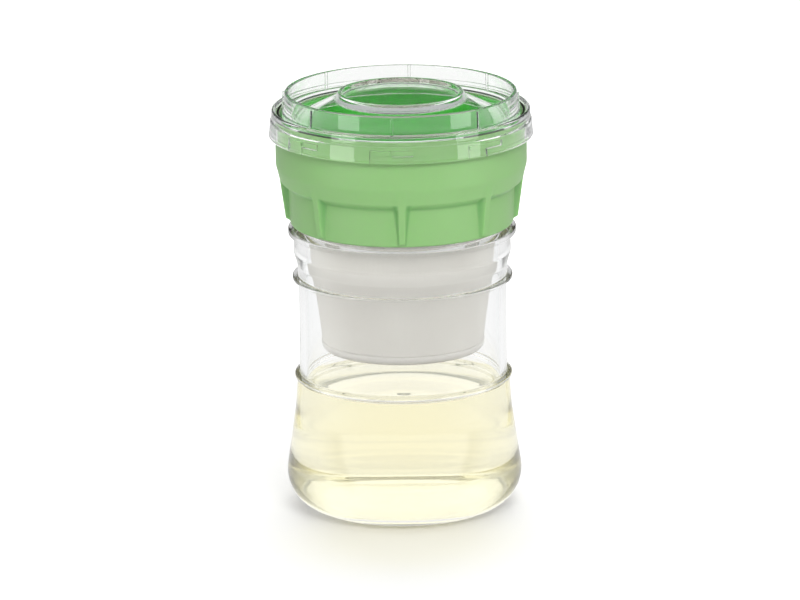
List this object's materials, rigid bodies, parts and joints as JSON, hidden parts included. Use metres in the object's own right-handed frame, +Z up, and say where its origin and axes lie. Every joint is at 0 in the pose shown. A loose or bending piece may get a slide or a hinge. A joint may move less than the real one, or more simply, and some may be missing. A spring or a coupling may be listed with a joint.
{
  "type": "cheese making jar",
  "caption": "Waisted glass jar with a green screw-on collar bowl, a fine mesh draining basket hung in its neck and a clear bayonet lid, for draining fresh cheese.",
  "frame": {"origin": "centre of the jar's foot on the surface it stands on", "axes": "+Z up the jar's axis, -Y towards the camera of the picture, +X to its right"},
  "size_m": [0.117, 0.117, 0.189],
  "materials": {
    "glass": "polished",
    "whey": "gloss",
    "silicone": "satin",
    "seal_green": "satin",
    "collar_green": "matte",
    "basket_plastic": "satin",
    "mesh": "matte",
    "clear_plastic": "polished"
  },
  "bodies": {
    "jar": {"glass_jar": "glass", "whey": "whey"},
    "neck_gasket": {"neck_gasket": "silicone"},
    "collar": {"collar": "collar_green"},
    "basket": {"basket_frame": "basket_plastic", "basket_wall_mesh": "mesh", "basket_floor_mesh": "mesh"},
    "lid_seal": {"lid_seal": "seal_green"},
    "lid": {"lid": "clear_plastic"}
  },
  "joints": [
    {"name": "collar_lift", "type": "slide", "parent": "jar", "child": "neck_gasket", "axis": [0, 0, 1], "range_m": [0, 0.1]},
    {"name": "collar_turn", "type": "hinge", "parent": "neck_gasket", "child": "collar", "pos_m": [0, 0, 0.1475], "axis": [0, 0, 1], "range_deg": [-45, 0]},
    {"name": "basket_lift", "type": "slide", "parent": "collar", "child": "basket", "axis": [0, 0, 1], "range_m": [0, 0.12]},
    {"name": "lid_lift", "type": "slide", "parent": "basket", "child": "lid_seal", "axis": [0, 0, 1], "range_m": [0, 0.08]},
    {"name": "lid_turn", "type": "hinge", "parent": "lid_seal", "child": "lid", "pos_m": [0, 0, 0.1786], "axis": [0, 0, 1], "range_deg": [-9.3, 0]}
  ]
}
